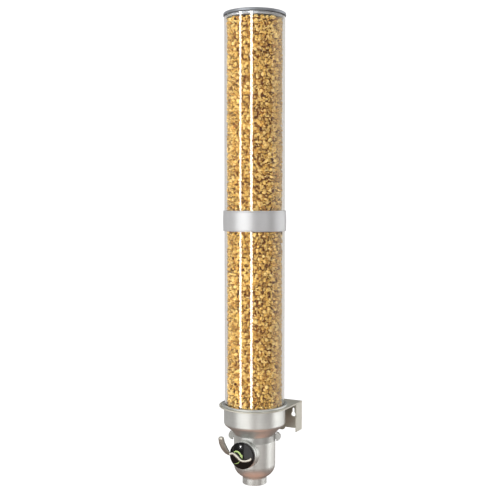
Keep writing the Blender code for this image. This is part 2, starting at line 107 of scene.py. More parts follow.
ON_TUBE_AXIS = Matrix.Translation((0, AXIS_Y, 0))
FACING_FRONT = Matrix.Translation((0, AXIS_Y, SHAFT_Z)) @ Matrix.Rotation(math.radians(90), 4, "X")


def add(name, mesh, place=None):
    """An object from a mesh drawn in millimetres, moved into place and scaled to metres."""
    made = bpy.data.objects.new(name, mesh)
    bpy.context.scene.collection.objects.link(made)
    if place is not None:
        mesh.transform(place)
    mesh.transform(Matrix.Scale(MM, 4))
    return made


def arc(centre, radius, start, end, count):
    """Points on an arc, with angles in degrees measured from the first axis."""
    turn = [math.radians(start + (end - start) * i / count) for i in range(count + 1)]
    return [(centre[0] + radius * math.cos(a), centre[1] + radius * math.sin(a)) for a in turn]


def bezier(start, control, end, count):
    """Points on a quadratic curve, without its first point."""
    points = []
    for i in range(1, count + 1):
        t = i / count
        weights = ((1 - t) ** 2, 2 * t * (1 - t), t**2)
        points.append(tuple(sum(w * p[k] for w, p in zip(weights, (start, control, end))) for k in (0, 1)))
    return points


def rounded(corners, count=4):
    """An outline whose corners (a, b, fillet radius) are rounded where a radius is given."""
    outline = []
    for i, corner in enumerate(corners):
        here = Vector(corner[:2])
        radius = corner[2] if len(corner) > 2 else 0
        if radius == 0:
            outline.append(tuple(here))
            continue
        before = Vector(corners[i - 1][:2])
        after = Vector(corners[(i + 1) % len(corners)][:2])
        back, ahead = (before - here).normalized(), (after - here).normalized()
        half = back.angle(ahead) / 2
        reach = radius / math.tan(half)
        middle = here + (back + ahead).normalized() * radius / math.sin(half)
        first = (here + back * reach - middle).normalized()
        last = (here + ahead * reach - middle).normalized()
        for k in range(count + 1):
            outline.append(tuple(middle + radius * first.slerp(last, k / count)))
    return outline


def revolved(name, profile, place=ON_TUBE_AXIS, facets=FINE, closed=True):
    """A solid of revolution from (radius, height) points that run down its outer side."""
    verts, rows, faces = [], [], []
    for r, z in profile:
        count = 1 if r < ON_AXIS else facets
        rows.append([len(verts) + k for k in range(count)])
        for k in range(count):
            turn = 2 * math.pi * k / facets
            verts.append((r * math.cos(turn), r * math.sin(turn), z))
    pairs = list(zip(rows, rows[1:])) + ([(rows[-1], rows[0])] if closed else [])
    for upper, lower in pairs:
        for k in range(facets):
            loop = [
                upper[k % len(upper)],
                lower[k % len(lower)],
                lower[(k + 1) % len(lower)],
                upper[(k + 1) % len(upper)],
            ]
            face = list(dict.fromkeys(loop))
            if len(face) > 2:
                faces.append(face)
    mesh = bpy.data.meshes.new(name)
    mesh.from_pydata(verts, [], faces)
    return add(name, mesh, place)


def slab(name, outlines, thickness, place=None):
    """A flat plate from closed outlines in its own XY, the first solid and the rest holes."""
    curve = bpy.data.curves.new(name, "CURVE")
    curve.dimensions = "2D"
    curve.fill_mode = "BOTH"
    curve.extrude = thickness / 2
    for outline in outlines:
        spline = curve.splines.new("POLY")
        spline.points.add(len(outline) - 1)
        for point, (a, b) in zip(spline.points, outline):
            point.co = (a, b, 0.0, 1.0)
        spline.use_cyclic_u = True
    source = bpy.data.objects.new(name + "_curve", curve)
    bpy.context.scene.collection.objects.link(source)
    mesh = bpy.data.meshes.new_from_object(source.evaluated_get(bpy.context.evaluated_depsgraph_get()))
    bpy.data.objects.remove(source)
    work = bmesh.new()
    work.from_mesh(mesh)
    bmesh.ops.remove_doubles(work, verts=work.verts, dist=CAP_WELD)
    work.to_mesh(mesh)
    work.free()
    return add(name, mesh, place)


def block(name, low, high):
    """A box between two corners."""
    mesh = bpy.data.meshes.new(name)
    work = bmesh.new()
    bmesh.ops.create_cube(work, size=1.0)
    for vert in work.verts:
        vert.co = Vector([(a + b) / 2 + (b - a) * c for a, b, c in zip(low, high, vert.co)])
    work.to_mesh(mesh)
    work.free()
    return add(name, mesh)


def applied(made):
    """Turns an object's modifiers into its own mesh."""
    mesh = bpy.data.meshes.new_from_object(made.evaluated_get(bpy.context.evaluated_depsgraph_get()))
    made.modifiers.clear()
    made.data = mesh
    return made


def combined(made, operation, *tools):
    """Joins tools to an object, or cuts them out of it, and removes them."""
    for tool in tools:
        step = made.modifiers.new(operation.lower(), "BOOLEAN")
        step.operation = operation
        step.solver = "EXACT"
        step.object = tool
    applied(made)
    for tool in tools:
        bpy.data.objects.remove(tool)


def edged(made, width, steps=3, angle=35):
    """Rounds an object's sharp edges."""
    weld = made.modifiers.new("weld", "WELD")
    weld.merge_threshold = 0.01 * MM
    bevel = made.modifiers.new("edges", "BEVEL")
    bevel.width = width * MM
    bevel.segments = steps
    bevel.limit_method = "ANGLE"
    bevel.angle_limit = math.radians(angle)
    bevel.use_clamp_overlap = True
    applied(made)


def smooth(made, angle=32):
    """Smooth shading whose normals follow the larger faces, with the creases kept."""
    made.data.shade_smooth()
    made.data.set_sharp_from_angle(angle=math.radians(angle))
    weighted = made.modifiers.new("normals", "WEIGHTED_NORMAL")
    weighted.keep_sharp = True
    return applied(made)


def placed(made, body, slot, look, *nodes):
    """Gives a piece its material, its body and the CAD nodes that it stands for; slot is not used."""
    made.data.materials.clear()
    made.data.materials.append(look)
    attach(made, body)
    if nodes:
        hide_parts(*nodes)


# ---- materials ----------------------------------------------------------------------------------


class Look:
    """A node material under construction: a Principled shader fed by patterns in the piece's metres."""

    def __init__(self, name, colour, roughness, metallic=0.0):
        self.material = bpy.data.materials.new(name)
        self.material.use_nodes = True
        self.nodes = self.material.node_tree.nodes
        self.links = self.material.node_tree.links
        self.shader = self.nodes["Principled BSDF"]
        self.place = self.nodes.new("ShaderNodeTexCoord").outputs["Object"]
        self.set("Base Color", (*colour, 1.0))
        self.set("Roughness", roughness)
        self.set("Metallic", metallic)

    def set(self, socket, value):
        self.shader.inputs[socket].default_value = value

    def link(self, source, target):
        self.links.new(source, target)

    def noise(self, size, detail=4.0, stretch=(1, 1, 1)):
        """A noise pattern whose grain is about size millimetres."""
        mapping = self.nodes.new("ShaderNodeMapping")
        mapping.inputs["Scale"].default_value = stretch
        self.link(self.place, mapping.inputs["Vector"])
        made = self.nodes.new("ShaderNodeTexNoise")
        made.inputs["Scale"].default_value = 1 / (size * MM)
        made.inputs["Detail"].default_value = detail
        self.link(mapping.outputs["Vector"], made.inputs["Vector"])
        return made.outputs["Fac"]

    def spread(self, pattern, low, high, start=0.3, end=0.7):
        """Maps a pattern onto a range of values."""
        made = self.nodes.new("ShaderNodeMapRange")
        for name, value in (("From Min", start), ("From Max", end), ("To Min", low), ("To Max", high)):
            made.inputs[name].default_value = value
        self.link(pattern, made.inputs["Value"])
        return made.outputs["Result"]

    def blend(self, pattern, *colours):
        """Maps a pattern from 0 to 1 onto colours that are evenly spread, or given as (place, colour)."""
        ramp = self.nodes.new("ShaderNodeValToRGB")
        stops = [c if isinstance(c[1], tuple) else (i / (len(colours) - 1), c) for i, c in enumerate(colours)]
        for i, (at, colour) in enumerate(stops):
            stop = ramp.color_ramp.elements[i] if i < 2 else ramp.color_ramp.elements.new(at)
            stop.position = at
            stop.color = (*colour, 1.0)
        self.link(pattern, ramp.inputs["Fac"])
        return ramp.outputs["Color"]

    def colour(self, pattern, *colours):
        self.link(self.blend(pattern, *colours), self.shader.inputs["Base Color"])

    def roughness(self, pattern, low, high):
        self.link(self.spread(pattern, low, high), self.shader.inputs["Roughness"])

    def bump(self, pattern, depth):
        """Relief of about depth millimetres."""
        made = self.nodes.new("ShaderNodeBump")
        made.inputs["Strength"].default_value = 1.0
        made.inputs["Distance"].default_value = depth * MM
        self.link(pattern, made.inputs["Height"])
        self.link(made.outputs["Normal"], self.shader.inputs["Normal"])


def shaded(colour, share):
    return tuple(c * share for c in colour)


def satin_silver():
    """Silver-coated moulding: turning lines round it under slow cloudy changes."""
    look = Look("satin_silver", (0.62, 0.625, 0.60), 0.42, 0.8)
    base = (0.63, 0.64, 0.61)
    turning = look.noise(3.0, 5, (0.05, 0.05, 3.0))
    cloud = look.noise(35, 3)
    both = look.nodes.new("ShaderNodeMath")
    both.operation = "MULTIPLY_ADD"
    both.inputs[1].default_value = 0.5
    look.link(turning, both.inputs[0])
    look.link(look.spread(cloud, 0.1, 0.4), both.inputs[2])
    look.colour(both.outputs["Value"], (0.3, shaded(base, 0.88)), (0.5, base), (0.75, shaded(base, 1.08)))
    look.roughness(turning, 0.34, 0.48)
    look.bump(look.noise(0.8, 2), 0.02)
    return look.material


def bracket_steel():
    """Champagne-grey powder coat with a faint orange-peel relief."""
    look = Look("bracket_steel", (0.68, 0.66, 0.57), 0.42, 0.35)
    base = (0.69, 0.67, 0.58)
    look.colour(look.noise(25, 4), shaded(base, 0.93), base, shaded(base, 1.05))
    look.roughness(look.noise(5, 4), 0.38, 0.48)
    look.bump(look.noise(1.4, 3), 0.03)
    return look.material


def brushed_band():
    """Pale satin aluminium with faint brush lines running round it."""
    look = Look("band_silver", (0.71, 0.715, 0.72), 0.44, 0.6)
    lines = look.noise(2.0, 6, (0.04, 0.04, 6.0))
    look.colour(lines, (0.65, 0.655, 0.66), (0.70, 0.705, 0.71), (0.74, 0.745, 0.75))
    look.roughness(lines, 0.40, 0.50)
    look.bump(lines, 0.01)
    return look.material


def lid_grey():
    look = Look("lid_grey", (0.38, 0.40, 0.43), 0.45, 0.75)
    look.colour(look.noise(30, 3), (0.35, 0.37, 0.40), (0.40, 0.42, 0.45))
    look.roughness(look.noise(5, 5), 0.4, 0.5)
    look.bump(look.noise(0.8, 2), 0.02)
    return look.material


def clear_acrylic():
    """Polished acrylic whose shadow rays pass, so that the food inside is lit through it."""
    look = Look("clear_acrylic", (0.93, 0.92, 0.90), 0.0)
    look.set("IOR", 1.49)
    look.set("Transmission Weight", 1.0)
    look.roughness(look.noise(40, 3), 0.0, 0.012)
    path = look.nodes.new("ShaderNodeLightPath")
    passing = look.nodes.new("ShaderNodeBsdfTransparent")
    passing.inputs["Color"].default_value = (0.96, 0.96, 0.97, 1.0)
    mix = look.nodes.new("ShaderNodeMixShader")
    look.link(path.outputs["Is Shadow Ray"], mix.inputs["Fac"])
    look.link(look.shader.outputs["BSDF"], mix.inputs[1])
    look.link(passing.outputs["BSDF"], mix.inputs[2])
    look.link(mix.outputs["Shader"], look.nodes["Material Output"].inputs["Surface"])
    return look.material


def gloss_black():
    look = Look("gloss_black", (0.012, 0.012, 0.013), 0.08)
    look.colour(look.noise(12, 4), (0.008, 0.008, 0.009), (0.018, 0.017, 0.016))
    look.roughness(look.noise(4, 6), 0.09, 0.18)
    look.set("Coat Weight", 0.6)
    look.set("Coat Roughness", 0.03)
    return look.material


def lever_metal():
    """Cast metal, polished by hands, with darker grain and a faint uneven relief."""
    look = Look("lever_metal", (0.58, 0.55, 0.48), 0.34, 0.8)
    look.colour(look.noise(4, 6), (0.34, 0.31, 0.26), (0.58, 0.55, 0.48), (0.70, 0.67, 0.60))
    look.roughness(look.noise(2, 5), 0.26, 0.42)
    look.bump(look.noise(3.2, 4), 0.12)
    return look.material


def plain_steel():
    look = Look("steel", (0.55, 0.55, 0.56), 0.3, 1.0)
    lines = look.noise(0.8, 4, (1, 0.05, 1))
    look.colour(lines, (0.46, 0.46, 0.47), (0.6, 0.6, 0.61))
    look.roughness(lines, 0.22, 0.36)
    return look.material


def moulded(name, colour, roughness, grain):
    """Matt moulded plastic or rubber."""
    look = Look(name, colour, roughness)
    look.colour(look.noise(8, 5), shaded(colour, 0.88), colour, shaded(colour, 1.06))
    look.roughness(look.noise(3, 4), roughness - 0.06, roughness + 0.06)
    look.bump(look.noise(grain, 3), 0.03)
    return look.material


# Green print for the arrow, also used for the thin stripe under it, which is a painted highlight.
def print_and_highlight_green():
    look = Look("arrow_print_and_highlight", (0.60, 0.82, 0.26), 0.35)
    look.colour(look.noise(1.5, 4), (0.50, 0.72, 0.20), (0.68, 0.88, 0.34))
    return look.material


def toasted():
    """Toasted cereal: each chunk has its own level on a ramp of browns, lower in the inner layer as painted
    shade, mottled with a browner crust.
    """
    look = Look("toasted_cereal", (0.6, 0.35, 0.1), 0.55)
    tone_and_shade = look.nodes.new("ShaderNodeAttribute")
    tone_and_shade.attribute_name = "tone_and_shade"
    mottle = look.spread(look.noise(2.6, 5), -0.18, 0.16)
    total = look.nodes.new("ShaderNodeMath")
    total.operation = "ADD"
    total.use_clamp = True
    look.link(tone_and_shade.outputs["Fac"], total.inputs[0])
    look.link(mottle, total.inputs[1])
    # The darkest stops of this ramp serve mostly the inner layer, whose lower level is painted shade.
    look.colour(
        total.outputs["Value"],
        (0.0, (0.14, 0.045, 0.010)),
        (0.3, (0.38, 0.17, 0.030)),
        (0.6, (0.68, 0.41, 0.085)),
        (1.0, (0.92, 0.68, 0.25)),
    )
    look.set("Specular IOR Level", 0.22)
    look.roughness(look.noise(3, 4), 0.42, 0.62)
    look.bump(look.noise(1.1, 4), 0.25)
    return look.material


# Dark brown cereal core: its darkness is painted shade, the inside of the pile coloured as if unlit.
def painted_shade_filling():
    look = Look("cereal_painted_shade", (0.2, 0.08, 0.03), 0.9)
    look.colour(look.noise(7, 5), (0.16, 0.050, 0.012), (0.38, 0.15, 0.030))
    look.set("Specular IOR Level", 0.1)
    look.bump(look.noise(5, 4), 1.5)
    return look.material


SATIN = satin_silver()
BRACKET = bracket_steel()
BAND = brushed_band()
LID = lid_grey()
ACRYLIC = clear_acrylic()
BLACK = gloss_black()
LEVER = lever_metal()
STEEL = plain_steel()
SEAL = moulded("seal_rubber", (0.05, 0.05, 0.05), 0.7, 0.7)
VANE = moulded("vane_rubber", (0.75, 0.73, 0.68), 0.6, 0.6)
INNER = moulded("inner_plastic", (0.80, 0.78, 0.72), 0.5, 1.0)
PRINT_AND_HIGHLIGHT = print_and_highlight_green()
TOASTED = toasted()
CORE_SHADE = painted_shade_filling()


# ---- bracket ------------------------------------------------------------------------------------


def make_ring_plate():
    """A tongue-shaped shelf with a round hole that the cup sits in."""
    hole_r = 67.7
    outline = arc((0, AXIS_Y), RING_R, 180, 360, FINE // 2) + [(RING_R, -GAP), (-RING_R, -GAP)]
    hole = arc((0, AXIS_Y), hole_r, 360, 0, FINE)[:-1]
    place = Matrix.Translation((0, 0, (RING_LOW + RING_TOP) / 2))
    plate = slab("bracket_ring", [outline, hole], RING_TOP - RING_LOW, place)
    edged(plate, 0.6)
    placed(smooth(plate), "bracket", "bracket_steel", BRACKET, "ring_plate")


def keyhole(x):
    """A cutter whose round entry lies below the slot that a screw's shank seats in."""
    slot_r, hole_r, drop = 2.5, 5.2, 11.8
    lean = math.degrees(math.asin(slot_r / hole_r))
    slot = arc((x, 0), slot_r, 0, 180, 16)
    entry = arc((x, -drop), hole_r, 90 + lean, 450 - lean, 32)
    depth = 20
    return slab("keyhole", [slot + entry], depth, Matrix.Rotation(math.radians(90), 4, "X"))


def make_wall_plate():
    """A back plate with a cheek bent forward at each side, a tab below and two keyholes."""
    plate, bend, low, keyhole_x = 2.5, 3.6, -43.0, 56.0
    inner = WALL_HALF - plate
    corners = [
        (-WALL_HALF, -CHEEK_OUT),
        (-inner, -CHEEK_OUT),
        (-inner, -plate, bend - plate),
        (inner, -plate, bend - plate),
        (inner, -CHEEK_OUT),
        (WALL_HALF, -CHEEK_OUT),
        (WALL_HALF, 0, bend),
        (-WALL_HALF, 0, bend),
    ]
    place = Matrix.Translation((0, 0, (WALL_TOP + low) / 2))
    made = slab("bracket_back", [rounded(corners, 8)], WALL_TOP - low, place)
    tab_half, tab_top, tab_fillet = 35.0, low + 8, 7
    corners = [(-tab_half, tab_top), (-tab_half, TAB_LOW, tab_fillet), (tab_half, TAB_LOW, tab_fillet)]
    upright = Matrix.Translation((0, -plate / 2, 0)) @ Matrix.Rotation(math.radians(90), 4, "X")
    tab = slab("tab", [rounded(corners + [(tab_half, tab_top)], 10)], plate - 0.4, upright)
    combined(made, "UNION", tab)
    combined(made, "DIFFERENCE", keyhole(-keyhole_x), keyhole(keyhole_x))
    edged(made, 0.45, 2)
    placed(smooth(made), "bracket", "bracket_steel", BRACKET, "wall_plate")


# ---- cup, tubes and lid -------------------------------------------------------------------------


def make_cup():
    """Rolled rim, cylinder, soft shoulder and funnel down to the neck, in one wall."""
    wall_r, bore = CUP_RIM_R - 4.2, CUP_RIM_R - 5.6
    rim = arc((CUP_RIM_R - 1.6, CUP_TOP - 1.6), 1.6, 90, 0, 6) + [(CUP_RIM_R, RING_TOP + GAP)]
    side = [(wall_r, RING_TOP + GAP), (wall_r, -16.5)]
    shoulder = bezier(side[-1], (wall_r, -21.0), (62.5, -24.2), 10)
    funnel = bezier(shoulder[-1], (48.5, -34.6), (45.0, SOCKET_TOP + GAP), 18)
    neck = [(40.0, SOCKET_TOP + GAP), (40.0, NECK_FOOT), (37.6, NECK_FOOT), (37.6, -48.0)]
    inside = bezier(neck[-1], (44.0, -32.0), (54.0, -26.0), 10)
    inside += [(59.5, -22.0), (61.0, -14.5), (bore, -14.5), (bore, CUP_TOP - 1.2), (bore + 1.2, CUP_TOP)]
    cup = revolved("funnel_cup", rim + side + shoulder + funnel + neck + inside)
    half, reach = 3.5, CUP_RIM_R
    for side_x in (-1, 1):
        xs = sorted((side_x * (wall_r - 1), side_x * reach))
        key = block("key", (xs[0], AXIS_Y - half, RING_LOW), (xs[1], AXIS_Y + half, RING_TOP + 2 * GAP))
        combined(cup, "UNION", key)
    placed(smooth(cup), "bracket", "satin_silver", SATIN, "hopper_cup")


def make_tubes():
    """Two clear lengths, end to end, with softened edges."""
    for name, node, low, high in (
        ("clear_tube_lower", "lower_tube", TUBE_FOOT, LOWER_TOP),
        ("clear_tube_upper", "upper_tube", UPPER_FOOT, TUBE_TOP),
    ):
        edge = 0.5
        corners = [
            (TUBE_R, high, edge),
            (TUBE_R, low, edge),
            (TUBE_BORE, low, edge),
            (TUBE_BORE, high, edge),
        ]
        tube = revolved(name, rounded(corners, 3), facets=192)
        placed(smooth(tube, 50), "canister", "clear_acrylic", ACRYLIC, node)


def make_band():
    """Wide, slightly barrelled band with a shallow bead along each edge."""
    low, high, inner, bead = band_low.z, band_high.z, TUBE_R + GAP, 3.0
    middle = (low + high) / 2
    corners = [
        (BAND_R - 1.0, high, 0.9),
        (BAND_R - 0.4, high - bead, 0.8),
        (BAND_R - 0.8, high - bead - 0.9, 0.3),
        (BAND_R, middle, 300),
        (BAND_R - 0.8, low + bead + 0.9, 0.3),
        (BAND_R - 0.4, low + bead, 0.8),
        (BAND_R - 1.0, low, 0.9),
        (inner, low, 0.4),
        (inner, high, 0.4),
    ]
    band = revolved("joint_band", rounded(corners))
    placed(smooth(band), "canister", "band_silver", BAND, "tube_joint_band")


def make_lid():
    """Pan-shaped lid: a floor, a plug wall and a rounded rim that rests on the tube."""
    skin, rim_low = 2.0, LID_TOP - 5.8
    plug = TUBE_BORE - 0.5
    pan = plug - skin
    corners = [
        (0, LID_FLOOR + skin),
        (pan, LID_FLOOR + skin, 2.0),
        (pan, LID_TOP - 0.6, 0.3),
        (pan + 1.0, LID_TOP, 0.4),
        (LID_R, LID_TOP, 1.7),
        (LID_R, rim_low, 0.8),
        (plug, rim_low),
        (plug, LID_FLOOR, 1.2),
        (0, LID_FLOOR),
    ]
    lid = revolved("lid_pan", rounded(corners), closed=False)
    placed(smooth(lid), "lid", "lid_grey", LID, "lid")


# ---- portion-wheel housing ----------------------------------------------------------------------


def rod(radius, back, front, facets=FINE):
    """A solid cylinder on the shaft's axis."""
    profile = [(0, front), (radius, front), (radius, back), (0, back)]
    return revolved("rod", profile, FACING_FRONT, facets, closed=False)


def make_housing():
    """Neck socket, round body, bowl and spout in one shell, with a round boss front and back."""
    ledge, bowl_top, bowl_low = -56.0, -108.0, -136.0
    outside = [(0, SOCKET_TOP), (42.4, SOCKET_TOP), (42.4, ledge)]
    outside += arc((BODY_R - 1.4, ledge - 1.4), 1.4, 90, 0, 5) + [(BODY_R, bowl_top)]
    outside += bezier((BODY_R, bowl_top), (BODY_R, -126.0), (27.4, bowl_low), 16)
    outside += bezier(outside[-1], (26.4, bowl_low - 0.6), (26.4, bowl_low - 2.4), 3)
    outside += arc((25.8, SPOUT_LOW + 0.6), 0.6, 0, -90, 3) + [(0, SPOUT_LOW)]
    housing = revolved("housing_shell", outside, closed=False)
    boss_r, bearing_r, bearing_back = 30.0, 9.5, -47.0
    boss = rod(boss_r, 0, BOSS_FACE)
    reach = 80
    trim = block("trim", (-reach, AXIS_Y - reach, ledge - 0.4), (reach, AXIS_Y + reach, ledge + 30))
    combined(boss, "DIFFERENCE", trim)
    combined(housing, "UNION", boss)
    combined(housing, "UNION", rod(bearing_r, bearing_back, -20))
    bore, shelf_top, shelf_low, shelf_bore = BODY_R - 2.5, -57.8, -60.0, 38.6
    cavity = [(0, SOCKET_TOP + 5), (40.4, SOCKET_TOP + 5), (40.4, shelf_top), (shelf_bore, shelf_top)]
    cavity += [(shelf_bore, shelf_low), (bore, shelf_low - 3), (bore, bowl_top)]
    cavity += bezier((bore, bowl_top), (bore, -124.0), (24.0, bowl_low + 2), 14)
    cavity += [(24.0, SPOUT_LOW - 5), (0, SPOUT_LOW - 5)]
    hollow = revolved("hollow", cavity, closed=False)
    combined(housing, "DIFFERENCE", hollow)
    combined(housing, "DIFFERENCE", rod(16.0, 20, BOSS_FACE + 5), rod(7.4, -45.4, -20, 48))
    edged(housing, 0.5, 2, 45)
    placed(smooth(housing, 38), "housing", "satin_silver", SATIN, "wheel_housing")


def make_cover():
    """A round plate on the boss, with a spigot that holds the front bush."""
    back, face = BOSS_FACE + GAP, COVER_FRONT
    corners = [
        (COVER_R, face, 1.6),
        (COVER_R, back, 0.3),
        (15.7, back),
        (15.7, 43.6),
        (10.3, 43.6),
        (10.3, face, 0.4),
    ]
    cover = revolved("cover_plate", rounded(corners), FACING_FRONT)
    placed(smooth(cover), "housing", "satin_silver", SATIN, "front_cover")


# ---- knob, lever and arrows ---------------------------------------------------------------------

DOME_RISE = 3.6
DOME_EDGE = KNOB_APEX - DOME_RISE  # the dome starts this far from the tube axis
DOME_R = KNOB_R - 1.0
DOME_BALL = (DOME_R**2 + DOME_RISE**2) / (2 * DOME_RISE)


def dome(radius):
    """How far from the tube axis the knob's face is, at a distance from the shaft's axis."""
    return KNOB_APEX - DOME_BALL + math.sqrt(DOME_BALL**2 - radius**2)


def make_knob():
    """A domed disc on a hollow stem, closed at the front, with a groove round the stem."""
    back, back_r, stem, stem_back = COVER_FRONT + 0.6, 26.0, 7.6, 40.8
    face = [(DOME_R * i / 12, dome(DOME_R * i / 12)) for i in range(13)]
    edge = arc((KNOB_R - 1.2, DOME_EDGE - 1.2), 1.2, 75, 0, 5)
    rear = arc((back_r - 0.6, back + 0.6), 0.6, 0, -90, 3)
    neck = [(stem, back), (stem, 43.2), (stem - 1, 43.2), (stem - 1, 41.6), (stem, 41.6), (stem, stem_back)]
    bore = [(5.3, stem_back), (5.3, 55.4), (0, 55.4)]
    knob = revolved("knob_dome", face[:-1] + edge + rear + neck + bore, FACING_FRONT, closed=False)
    placed(smooth(knob), "rotor", "gloss_black", BLACK, "knob_disc")


# The lever's centre line: (right, up, out from the knob's apex, half width)
LEVER_LINE = [
    (25.0, -0.8, -1.0, 1.7),
    (22.2, -4.8, 0.0, 2.8),
    (13.8, -8.0, 1.2, 2.5),
    (3.8, -8.7, 1.5, 2.7),
    (-2.4, -5.7, 1.6, 3.2),
    (-9.6, 0.2, 1.6, 3.7),
    (-17.8, 4.0, 1.4, 2.7),
    (-26.1, 2.5, 1.8, 3.2),
    (-31.6, 8.0, 4.2, 5.6),
    (-36.3, 16.5, 7.0, 6.7),
    (-39.7, 26.7, 9.6, 6.7),
    (-40.6, 35.4, 11.4, 6.4),
]


def spline(points, count):
    """Points of a Catmull-Rom spline through points of any width."""
    ends = [points[0]] + list(points) + [points[-1]]
    line = []
    for i in range(1, len(ends) - 2):
        p0, p1, p2, p3 = (np.array(p) for p in ends[i - 1 : i + 3])
        for k in range(count):
            t = k / count
            line.append(
                0.5 * (2 * p1 + (p2 - p0) * t + (2 * p0 - 5 * p1 + 4 * p2 - p3) * t**2)
                + 0.5 * (3 * p1 - p0 - 3 * p2 + p3) * t**3
            )
    return line + [np.array(points[-1])]


def make_lever():
    """A bar of flattened section swept along its wavy line, clear of the knob's dome."""
    flat, sides = 0.66, 28
    line = spline(LEVER_LINE, 8)
    tip, ahead = Vector(line[-1][:3]), Vector(line[-1][:3] - line[-2][:3]).normalized()
    for reach, share in ((1.6, 0.98), (3.0, 0.88), (4.2, 0.70), (5.0, 0.42), (5.2, 0.12)):
        line.append(np.array([*(tip + ahead * reach), LEVER_LINE[-1][3] * share]))
    verts, faces = [], []
    for i, (x, y, z, half) in enumerate(line):
        before, after = Vector(line[max(i - 1, 0)][:3]), Vector(line[min(i + 1, len(line) - 1)][:3])
        run = (after - before).normalized()
        across = Vector((0, 0, 1)).cross(run).normalized()
        out = run.cross(across)
        for k in range(sides):
            turn = 2 * math.pi * k / sides
            wide = math.copysign(abs(math.cos(turn)) ** 0.8, math.cos(turn))
            deep = math.copysign(abs(math.sin(turn)) ** 0.8, math.sin(turn))
            verts.append(Vector((x, y, KNOB_APEX + z)) + across * wide * half + out * deep * half * flat)
        if i:
            for k in range(sides):
                a, b = (i - 1) * sides + k, (i - 1) * sides + (k + 1) % sides
                faces.append((a, b, b + sides, a + sides))
    faces.append(tuple(range(sides))[::-1])
    faces.append(tuple(len(verts) - sides + k for k in range(sides)))
    mesh = bpy.data.meshes.new("lever_bar")
    mesh.from_pydata(verts, [], faces)
    lever = add("lever_bar", mesh, FACING_FRONT)
    clear = [(0, dome(0) + GAP)] + [(r, dome(r) + GAP) for r in (6, 12, 18, 24, DOME_R)]
    clear += [(KNOB_R + 0.2, DOME_EDGE + GAP), (KNOB_R + 0.2, COVER_FRONT - 5), (0, COVER_FRONT - 5)]
    combined(lever, "DIFFERENCE", revolved("clearance", clear, FACING_FRONT, closed=False))
    placed(smooth(lever, 40), "rotor", "lever_metal", LEVER, "lever_handle")


def on_dome(name, stations):
    """A stripe on the knob's face from (right, up, half width) along its middle: the printed arrow, and a
    painted highlight.
    """
    verts, faces = [], []
    film = 0.12
    for i, (x, y, half) in enumerate(stations):
        before, after = stations[max(i - 1, 0)], stations[min(i + 1, len(stations) - 1)]
        run = Vector((after[0] - before[0], after[1] - before[1])).normalized()
        for side in (1, -1):
            px, py = x - run.y * half * side, y + run.x * half * side
            face = dome(math.hypot(px, py))
            verts += [(px, py, face + 0.02), (px, py, face + film)]
    for i in range(len(stations) - 1):
        a, b = 4 * i, 4 * i + 4
        faces += [(a + 1, a + 3, b + 3, b + 1), (a, b, b + 2, a + 2)]
        faces += [(a, a + 1, b + 1, b), (a + 2, b + 2, b + 3, a + 3)]
    last = 4 * (len(stations) - 1)
    faces += [(0, 2, 3, 1), (last, last + 1, last + 3, last + 2)]
    mesh = bpy.data.meshes.new(name)
    mesh.from_pydata(verts, [], faces)
    work = bmesh.new()
    work.from_mesh(mesh)
    bmesh.ops.recalc_face_normals(work, faces=work.faces)
    work.to_mesh(mesh)
    work.free()
    placed(add(name, mesh, FACING_FRONT), "rotor", "gloss_black", PRINT_AND_HIGHLIGHT)


def make_arrow_and_highlight():
    """A curved arrow that shows which way the knob turns, and under it a thin curved stripe that is a painted
    highlight.
    """
    middle = spline([(-17.3, 6.1), (-11.7, 9.2), (-5.6, 8.5), (-0.8, 4.4), (2.3, 0.6), (3.8, -3.6)], 6)
    stem = [(x, y, 0.8 + 1.0 * min(i / 10, 1)) for i, (x, y) in enumerate(middle[:-8])]
    head = [(x, y, 3.4 * (8 - i) / 8 + 0.05) for i, (x, y) in enumerate(middle[-9:])]
    on_dome("direction_arrow", stem + head)
    # The thin stripe under the arrow is a painted highlight, drawn in the arrow's green.
    under = spline([(-16.6, -18.7), (-10.8, -17.4), (-5.5, -14.1), (-2.1, -10.1)], 5)
    last = len(under) - 1
    highlight_stripe = [(x, y, 0.2 + 0.4 * math.sin(math.pi * i / last)) for i, (x, y) in enumerate(under)]
    on_dome("knob_painted_highlight", highlight_stripe)


# ---- locking collar -----------------------------------------------------------------------------


def make_collar():
    """A ring round the neck joint with two round finger wings, each with grip ribs."""
    radius, bore, top, low = 45.0, 42.8, -43.0, COLLAR_LOW
    ring = [(radius, top, 0.8), (radius, low, 0.8), (bore, low, 0.3), (bore, top, 0.3)]
    collar = revolved("collar_winged", rounded(ring))
    rise, thick, web, wing_r, wing_turn = 9.8, 7.0, 5.2, 57.5, 19.5
    centre = (wing_r - rise, -48.2)
    groove, spacing, depth, half = 1.1, 2.8, 2.0, 12
    root = radius - 1
    outline = [(root, centre[1] - web), (centre[0], centre[1] - web)]
    outline += arc(centre, rise, -90, 90, 24)
    outline += [(centre[0], centre[1] + web), (root, centre[1] + web)]
    upright = Matrix.Rotation(math.radians(90), 4, "X")
    for turn in (wing_turn, wing_turn + 180):
        place = ON_TUBE_AXIS @ Matrix.Rotation(math.radians(turn), 4, "Z") @ upright
        wing = slab("wing", [outline], thick, place)
        grooves = []
        for k in range(4):
            x = centre[0] - 2.4 + spacing * k
            low_z, high_z = centre[1] - half, centre[1] + half
            box = [(x, low_z), (x + groove, low_z), (x + groove, high_z), (x, high_z)]
            for face in (-1, 1):
                side = Matrix.Translation((0, 0, face * (thick / 2 + 0.2)))
                grooves.append(slab("groove", [box], depth, place @ side))
        combined(wing, "DIFFERENCE", *grooves)
        edged(wing, 0.4, 2)
        combined(collar, "UNION", wing)
    placed(smooth(collar, 40), "collar", "satin_silver", SATIN, "locking_collar")


# ---- food ---------------------------------------------------------------------------------------


